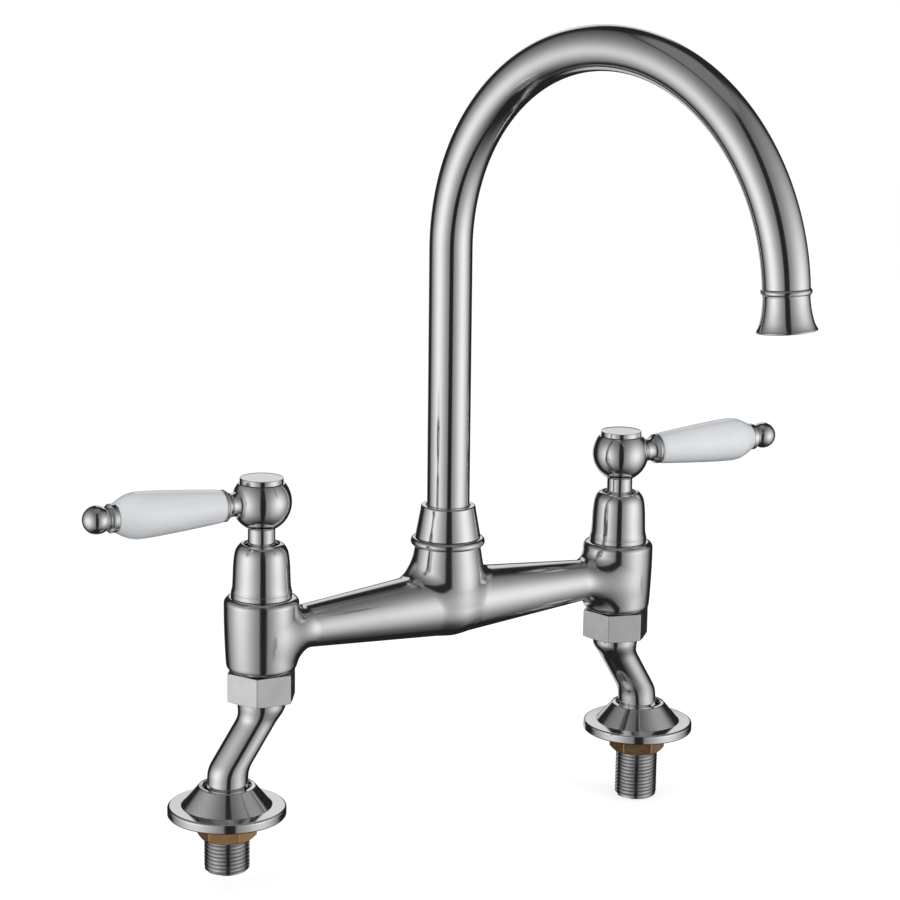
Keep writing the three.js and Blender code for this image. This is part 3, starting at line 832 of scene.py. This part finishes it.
cap_crown = [(r, CAP_TOP_Z - CROWN_DROP * (r / CAP_R) ** 5) for r in np.arange(9.2, 0.3, -0.6)]
cap_outline = joined(
    [(0, 150.3), (4.8, 150.3), (4.8, 153.95)],
    rounded([(9.0, 153.95), (CAP_R, 153.95, 0.2), (CAP_R, 156.25, 0.3), (9.6, 156.33)]),
    cap_crown,
    [(0, CAP_TOP_Z)],
)
# The outlines of the lever run along its axis, from the middle of the ball.
neck_outline = joined(
    [(2.65, 10.2), (7.5, 10.2)],
    spline(
        [(7.4, 11.4), (6.65, 12.1), (6.0, 12.75), (5.6, 13.5), (5.45, 14.4), (5.4, 15.4), (5.45, 16.2)],
        4,
    )[:-1],
    spline([(5.45, 16.2), (5.65, 17.1), (6.1, 17.9), (6.65, 18.6), (7.1, 19.2)], 4),
    spline([(7.3, 19.45), (7.3, 19.8), (7.05, 20.1), (7.0, 20.35), (7.15, 20.6)], 4),
    rounded([(7.28, 20.75), (7.3, 21.0, 0.1), (2.65, 21.0)]),
)
grip_outline = joined(
    rounded([(2.9, 21.15), (7.25, 21.15, 0.35), (7.5, 22.3)]),
    spline(
        [
            (7.62, 23.0),
            (8.25, 29.5),
            (8.95, 37.6),
            (9.6, 45.6),
            (10.17, 53.5),
            (10.4, 57.8),
            (10.52, 61.4),
            (10.5, 63.6),
            (10.3, 65.4),
            (9.85, 67.3),
            (9.05, 69.3),
            (8.1, 71.2),
            (7.2, 72.9),
        ],
        6,
    ),
    rounded([(7.0, 73.3), (6.7, 73.9, 0.2), (2.9, 73.9)]),
)
finial_outline = joined(
    rounded([(0, 74.05), (6.5, 74.05, 0.25), (6.5, 76.5, 0.35), (4.9, 76.9)]),
    spline([(4.8, 77.2), (4.8, 77.6), (5.0, 78.2)], 3)[:-1],
    arc(0, 82.55, 6.38, -41, 90, 24),
)


def build_side(name, post, lever, leg, bent, nut, tail):
    """The valve's bonnet, the handle, the union nut and the leg of one side."""
    handle = name + "_handle"
    leg_body = name + "_leg"

    def add(part, body, slot, node, surfaces, **options):
        piece(name + "_" + part, body, slot, [name + "_" + node], surfaces, **options)

    axis = shift(post)
    add("dome_bonnet", "bridge", "chrome", "bonnet", [moved(turned(bonnet_outline, closed=True), axis)])
    add("ball_hub", handle, "chrome", "handle_hub", [moved(turned(hub_outline, closed=True), axis)])
    add("cap", handle, "chrome", "index_cap", [moved(turned(cap_outline), axis)])

    along_lever = (
        shift(post, 0, BALL_Z)
        @ turn_z(lever)
        @ Matrix.Rotation(-LEVER_TILT, 4, "Y")
        @ Matrix.Rotation(math.pi / 2, 4, "Y")
    )
    for part, slot, outline, closed in (
        ("neck", "chrome", neck_outline, True),
        ("grip", "porcelain", grip_outline, True),
        ("finial", "chrome", finial_outline, False),
    ):
        add(part, handle, slot, "lever_" + part, [moved(turned(outline, closed), along_lever)])

    hexagon = hexagon_nut(33.5, 52.5, 66.35, nut, lower=0.4, upper=0.1, bore=11.8)
    hexagon = moved(hexagon, axis)
    add("hex_nut", "bridge", "chrome", "union_nut", [hexagon], materials=[NUT_CHROME], sharp=SHARP_NUT)

    crank = axis @ turn_z(leg)
    foot = crank @ shift(CRANK_OFFSET)
    leg_surfaces = [moved(leg_surface(bent), crank), moved(threaded_tail(tail), foot)]
    add("cranked_leg", leg_body, "chrome", "leg", leg_surfaces, materials=[CHROME, THREAD])
    add("deck_flange", leg_body, "chrome", "flange", [moved(flange_surface, foot)])
    hexagon = hexagon_nut(27.7, -10.8, -1.0, BACKNUT_TURN - leg, lower=1.4, upper=0.6, bore=10.6)
    add("brass_nut", leg_body, "brass", "backnut", [moved(hexagon, foot)], sharp=SHARP_NUT)


for side in SIDES:
    build_side(**side)

# ---------------------------------------------------------------- finishes of the solids that stay
slot_of = {part["node"]: part["material_slot"] for part in frame["record"]["subparts"]}
for node, thing in frame["nodes"].items():
    finish = SLOT_MATERIAL[slot_of[node]]
    for index in range(max(1, len(thing.data.materials))):
        if index < len(thing.data.materials):
            thing.data.materials[index] = finish
        else:
            thing.data.materials.append(finish)

# ---------------------------------------------------------------- camera
# In metres and millimetres of lens, as the fit to the photo gave it.
VIEW_AZIMUTH = math.radians(-33.594)
VIEW_ELEVATION = math.radians(12.701)
VIEW_ROLL = math.radians(0.935)
VIEW_TARGET = Vector((0.000511, 0, 0.1577))
VIEW_DISTANCE = 1.2829
VIEW_LENS = 109.4145
back = Vector(
    (
        math.sin(VIEW_AZIMUTH) * math.cos(VIEW_ELEVATION),
        -math.cos(VIEW_AZIMUTH) * math.cos(VIEW_ELEVATION),
        math.sin(VIEW_ELEVATION),
    )
)
level = (-back).cross(Vector((0, 0, 1))).normalized()
upright = level.cross(-back)
right = level * math.cos(VIEW_ROLL) + upright * math.sin(VIEW_ROLL)
up = upright * math.cos(VIEW_ROLL) - level * math.sin(VIEW_ROLL)
camera_data = bpy.data.cameras.new("camera")
camera_data.sensor_width = 36
camera_data.lens = VIEW_LENS
camera_data.clip_start, camera_data.clip_end = 0.05, 60
camera = placed("camera", camera_data)
axes = Matrix((right, up, back)).transposed().to_4x4()
camera.matrix_world = Matrix.Translation(VIEW_TARGET + back * VIEW_DISTANCE) @ axes
bpy.context.scene.camera = camera

# ---------------------------------------------------------------- studio
bpy.context.scene.view_settings.view_transform = "Standard"

# The studio is laid out in metres, and its azimuths in degrees from the viewer to the right.
front = Vector((back.x, back.y, 0)).normalized()
STUDIO_CENTRE = Vector((0, 0, 0.15))
WORLD_BELOW, WORLD_ABOVE = 0.52, 0.60  # the light that matt surfaces get from there


def aside(degrees):
    """The level direction of an azimuth."""
    return level * math.sin(math.radians(degrees)) + front * math.cos(math.radians(degrees))


def seen_rays(g):
    """1 for rays that show the background: from the camera, a mirror or through glass."""
    path = g.node("ShaderNodeLightPath").outputs
    seen = g.math("MAXIMUM", path["Is Camera Ray"], path["Is Glossy Ray"])
    return g.math("MAXIMUM", seen, path["Is Transmission Ray"])


world = bpy.data.worlds.new("studio")
bpy.context.scene.world = world
world.use_nodes = True
g = Graph(world.node_tree)
height = g.dot(g.node("ShaderNodeTexCoord").outputs["Generated"], (0, 0, 1))
soft = g.span(height, -1.0, 1.0, WORLD_BELOW, WORLD_ABOVE)
strength = g.math("MAXIMUM", soft, seen_rays(g))
background = g.node("ShaderNodeBackground", Color=(1, 1, 1, 1), Strength=strength)
g.node("ShaderNodeOutputWorld", Surface=background.outputs["Background"])


WALL_COLUMNS = 48
SPOT_WIDTH = math.radians(30)
SPOT_LIGHT = 0.60
WIDE_WIDTH = math.radians(63)
WIDE_LIGHT = 0.48
PANEL_FADE = (-84, -36)  # elevations between which a panel's light fades towards its foot
LEAN_HIGH = math.radians(45)  # elevation up to which a panel's outer edge leans
AMBIENT = 0.02
STRIP = 0.6  # light of the strip on the drape
CEILING = 0.2
OPENING = 0.8  # how much is seen through the drape's opening


def wall(name, radius, start, end, low, high, paint):
    """An upright curved wall round the part, seen only as a reflection. A full circle also has two lids."""
    columns = WALL_COLUMNS
    points = []
    for z in (low, high):
        for a in np.linspace(start, end, columns + 1):
            points.append(aside(a) * radius + Vector((0, 0, z)))
    faces = [(k, k + 1, columns + 2 + k, columns + 1 + k) for k in range(columns)]
    if end - start == 360:
        faces += [tuple(range(columns)), tuple(range(columns + 1, 2 * columns + 1))]
    mesh = bpy.data.meshes.new(name)
    mesh.from_pydata(points, [], faces)
    made = placed(name, mesh)
    for kind in ("camera", "diffuse", "transmission", "volume_scatter", "shadow"):
        setattr(made, "visible_" + kind, False)
    material, g = new_material(name)
    place = g.node("ShaderNodeNewGeometry").outputs["Position"]
    offset = g.vector("SUBTRACT", place, STUDIO_CENTRE).outputs[0]
    ray = g.vector("NORMALIZE", offset).outputs[0]
    azimuth = g.math("ARCTAN2", g.dot(ray, level), g.dot(ray, front))
    elevation = g.math("ARCSINE", g.dot(ray, (0, 0, 1)))
    g.node("ShaderNodeOutputMaterial", Surface=paint(g, ray, azimuth, elevation))
    mesh.materials.append(material)


def panel(spot_azimuth, spot_elevation, inner, outer, outer_lean):
    """A soft panel with a lamp behind it, in degrees.

    Either edge goes from a dark to a light azimuth. The outer one moves by its lean on the way up.
    """
    e = math.radians(spot_elevation)
    spot = aside(spot_azimuth) * math.cos(e) + Vector((0, 0, math.sin(e)))

    def paint(g, ray, azimuth, elevation):
        away = g.math("ARCCOSINE", g.dot(ray, spot))

        def glow(width, light):
            share = g.math("POWER", g.math("DIVIDE", away, width), 2.0)
            return g.product(g.math("EXPONENT", g.product(share, -1.0)), light)

        light = g.math("ADD", glow(SPOT_WIDTH, SPOT_LIGHT), glow(WIDE_WIDTH, WIDE_LIGHT))
        lean = g.span(elevation, 0.0, LEAN_HIGH, 0.0, math.radians(outer_lean), smooth=False)
        for edge, by in ((inner, 0.0), (outer, lean)):
            light = g.product(light, g.fade(g.math("SUBTRACT", azimuth, by), *edge))
        light = g.product(light, g.fade(elevation, *PANEL_FADE))
        return g.node("ShaderNodeEmission", Strength=g.math("ADD", light, AMBIENT)).outputs[0]

    return paint


def drape(g, ray, azimuth, elevation):
    """Dark cloth, with a soft-edged opening behind the part, a strip of light below it and a dim ceiling.

    The azimuths and elevations are in degrees.
    """
    opening = g.product(
        g.fade(g.math("ABSOLUTE", azimuth), 160, 168),
        g.fade(elevation, 7, 10),
        g.fade(elevation, 42, 32),
    )
    strip = g.product(
        g.fade(azimuth, -180, -172, 0.0, STRIP),
        g.fade(azimuth, -152, -160),
        g.fade(elevation, -60, -40),
        g.fade(elevation, 4, -3),
    )
    ceiling = g.fade(elevation, 60, 70, AMBIENT, CEILING)
    mix = g.node("ShaderNodeMixShader", Fac=g.product(opening, OPENING))
    g.feed(mix.inputs[1], g.node("ShaderNodeEmission", Strength=g.math("ADD", strip, ceiling)).outputs[0])
    g.feed(mix.inputs[2], g.node("ShaderNodeBsdfTransparent").outputs[0])
    return mix.outputs[0]


PANEL_R = 1.1
DRAPE_R = 1.3
left_paint = panel(-61, -4, inner=(-3.0, -8.0), outer=(-126, -104), outer_lean=-26)
right_paint = panel(70, -4, inner=(13.5, 18.0), outer=(136, 108), outer_lean=0)
wall("left_panel", PANEL_R, start=-152, end=-2, low=-2.6, high=2.25, paint=left_paint)
wall("right_panel", PANEL_R, start=12, end=140, low=-5.0, high=2.6, paint=right_paint)
wall("drape", DRAPE_R, start=-180, end=180, low=-7.0, high=6.0, paint=drape)

FLOOR_Z = -0.0352
FLOOR_REACH = 12.0
FLOOR_GLOW = 0.72
floor_mesh = bpy.data.meshes.new("floor")
corners = [(x * FLOOR_REACH, y * FLOOR_REACH, 0) for x, y in ((-1, -1), (1, -1), (1, 1), (-1, 1))]
floor_mesh.from_pydata(corners, [], [(0, 1, 2, 3)])
floor = placed("floor", floor_mesh)
floor.location.z = FLOOR_Z
floor.visible_glossy = False
floor_material, g = new_material("pale_floor")
matt = g.node("ShaderNodeBsdfDiffuse", Color=(0.5, 0.5, 0.5, 1))
glow = g.node("ShaderNodeEmission", Color=(1, 1, 1, 1), Strength=g.product(seen_rays(g), FLOOR_GLOW))
both = g.node("ShaderNodeAddShader")
g.feed(both.inputs[0], matt.outputs[0])
g.feed(both.inputs[1], glow.outputs[0])
g.node("ShaderNodeOutputMaterial", Surface=both.outputs[0])
floor_mesh.materials.append(floor_material)

LAMP_DISTANCE = 1.5
LAMP_Z = 0.3
LAMP_SIZE = 1.1
for name, azimuth, watts in (("left_lamp", -58, 12.0), ("right_lamp", 62, 13.0)):
    lamp_data = bpy.data.lights.new(name, "AREA")
    lamp_data.shape = "DISK"
    lamp_data.size = LAMP_SIZE
    lamp_data.energy = watts
    lamp = placed(name, lamp_data)
    lamp.location = aside(azimuth) * LAMP_DISTANCE + Vector((0, 0, LAMP_Z))
    lamp.rotation_mode = "QUATERNION"
    lamp.rotation_quaternion = (STUDIO_CENTRE - lamp.location).to_track_quat("-Z", "Y")
    lamp.visible_glossy = False
    lamp.visible_camera = False

# ---------------------------------------------------------------- view layer brought up to date
bpy.context.view_layer.update()
